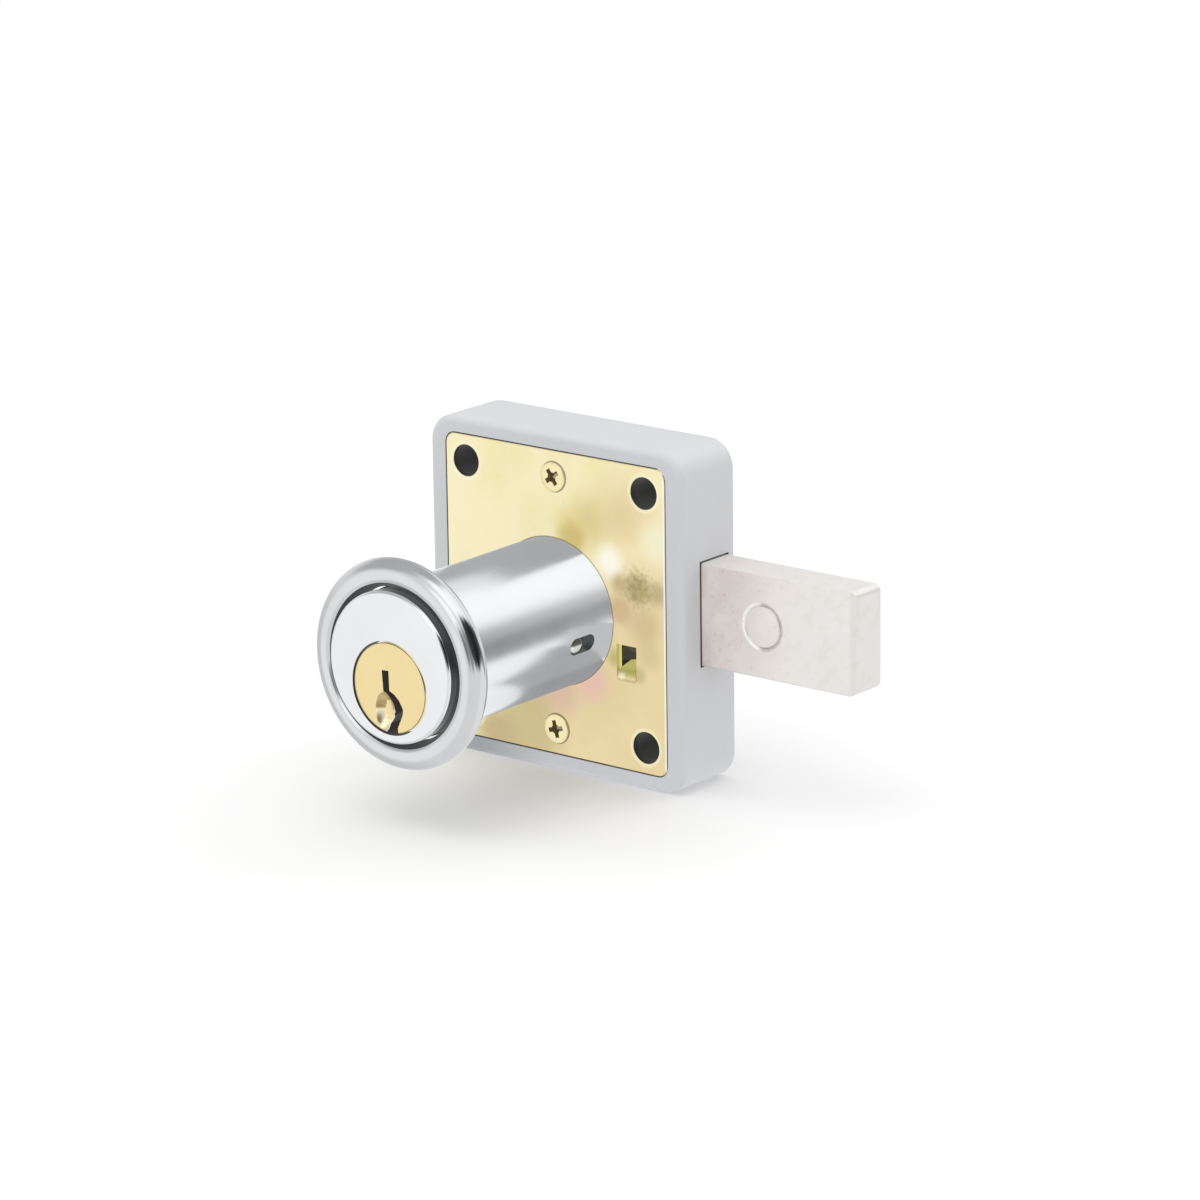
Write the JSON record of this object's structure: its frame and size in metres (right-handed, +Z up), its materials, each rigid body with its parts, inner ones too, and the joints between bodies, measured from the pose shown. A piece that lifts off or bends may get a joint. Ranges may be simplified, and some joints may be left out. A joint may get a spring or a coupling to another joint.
{
  "type": "cabinet lock",
  "caption": "Surface mounted cabinet lock: keyed barrel with a sliding trim ring, square case with a flush cover plate, and a rectangular deadbolt thrown by a crank.",
  "frame": {"origin": "centre of the four mounting holes, on the front face of the cover plate", "axes": "+X along the bolt's throw, +Y into the cabinet (the barrel points along -Y), +Z up"},
  "size_m": [0.0755, 0.0501, 0.0516],
  "materials": {
    "case_paint": "satin light grey coating",
    "plate_zinc": "yellow zinc plating, semi-gloss",
    "screw_zinc": "yellow zinc plating",
    "sleeve_chrome": "bright chrome",
    "core_chrome": "bright chrome",
    "ring_chrome": "bright chrome",
    "plug_brass": "polished",
    "pin_brass": "turned",
    "driver_steel": "turned",
    "spring_steel": "drawn wire",
    "strip_brass": "plain",
    "clip_steel": "phosphated",
    "keeper_steel": "polished end",
    "cam_steel": "zinc plated",
    "crank_steel": "hardened",
    "bolt_nickel": "satin nickel plating",
    "insert_steel": "dressed flush"
  },
  "bodies": {
    "lock_body": {"case": "case_paint", "cover_plate": "plate_zinc", "cover_screws": "screw_zinc", "barrel_sleeve": "sleeve_chrome", "barrel_screws": "screw_zinc", "cylinder_core": "core_chrome", "core_keeper_pin": "keeper_steel", "chamber_strip": "strip_brass", "driver_pin_1": "driver_steel", "driver_pin_2": "driver_steel", "driver_pin_3": "driver_steel", "driver_pin_4": "driver_steel", "driver_pin_5": "driver_steel", "pin_spring_1": "spring_steel", "pin_spring_2": "spring_steel", "pin_spring_3": "spring_steel", "pin_spring_4": "spring_steel", "pin_spring_5": "spring_steel"},
    "plug": {"plug": "plug_brass", "plug_clip": "clip_steel", "drive_cam": "cam_steel", "crank_pin": "crank_steel", "cam_screw": "cam_steel", "key_pin_1": "pin_brass", "key_pin_2": "pin_brass", "key_pin_3": "pin_brass", "key_pin_4": "pin_brass", "key_pin_5": "pin_brass"},
    "bolt": {"bolt": "bolt_nickel", "bolt_insert": "insert_steel"},
    "trim_ring": {"trim_ring": "ring_chrome"}
  },
  "joints": [
    {"name": "plug_turn", "type": "hinge", "parent": "lock_body", "child": "plug", "pos_m": [-0.00045, 0, -0.00424], "axis": [0, -1, 0], "range_deg": [0, 180]},
    {"name": "bolt_slide", "type": "slide", "parent": "lock_body", "child": "bolt", "axis": [1, 0, 0], "range_m": [-0.0277, 0]},
    {"name": "ring_slide", "type": "slide", "parent": "lock_body", "child": "trim_ring", "axis": [0, 1, 0], "range_m": [-0.06, 0.031]}
  ],
  "couplings": [
    {"joint": "plug_turn", "follows": "bolt_slide", "rad_per_m": -113.41}
  ]
}
